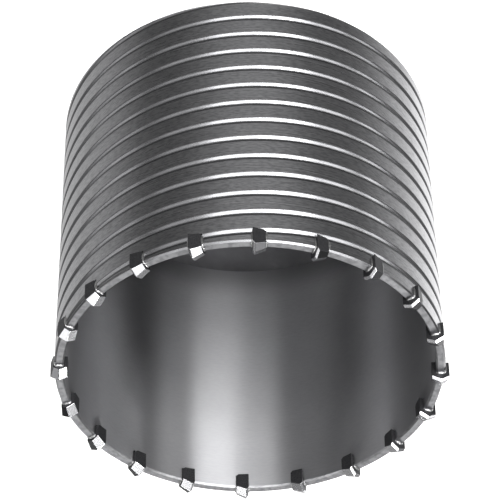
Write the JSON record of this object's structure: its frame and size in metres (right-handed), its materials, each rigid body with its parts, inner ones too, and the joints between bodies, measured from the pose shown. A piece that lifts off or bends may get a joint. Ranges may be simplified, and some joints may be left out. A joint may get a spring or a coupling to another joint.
{
  "type": "carbide tipped core bit",
  "caption": "Hollow steel core bit for hammer drills, with a helical chip groove, carbide teeth brazed round its rim and a threaded back plate.",
  "frame": {"origin": "centre of the back face, on the axis of the bit", "axes": "+Z along the axis of the bit, toward the teeth"},
  "size_m": [0.125, 0.125, 0.1087],
  "materials": {
    "barrel_steel": "fine turned",
    "plate_steel": "turned",
    "weld_steel": "ground",
    "carbide": "sintered, ground ends",
    "braze": "bright as cast"
  },
  "bodies": {
    "root": {"barrel": "barrel_steel", "back_plate": "plate_steel", "weld_seam": "weld_steel", "tip_01": "carbide", "tip_02": "carbide", "tip_03": "carbide", "tip_04": "carbide", "tip_05": "carbide", "tip_06": "carbide", "tip_07": "carbide", "tip_08": "carbide", "tip_09": "carbide", "tip_10": "carbide", "tip_11": "carbide", "tip_12": "carbide", "tip_13": "carbide", "tip_14": "carbide", "tip_15": "carbide", "tip_16": "carbide", "tip_17": "carbide", "tip_18": "carbide", "tip_19": "carbide", "tip_20": "carbide", "braze_01": "braze", "braze_02": "braze", "braze_03": "braze", "braze_04": "braze", "braze_05": "braze", "braze_06": "braze", "braze_07": "braze", "braze_08": "braze", "braze_09": "braze", "braze_10": "braze", "braze_11": "braze", "braze_12": "braze", "braze_13": "braze", "braze_14": "braze", "braze_15": "braze", "braze_16": "braze", "braze_17": "braze", "braze_18": "braze", "braze_19": "braze", "braze_20": "braze"}
  },
  "joints": []
}
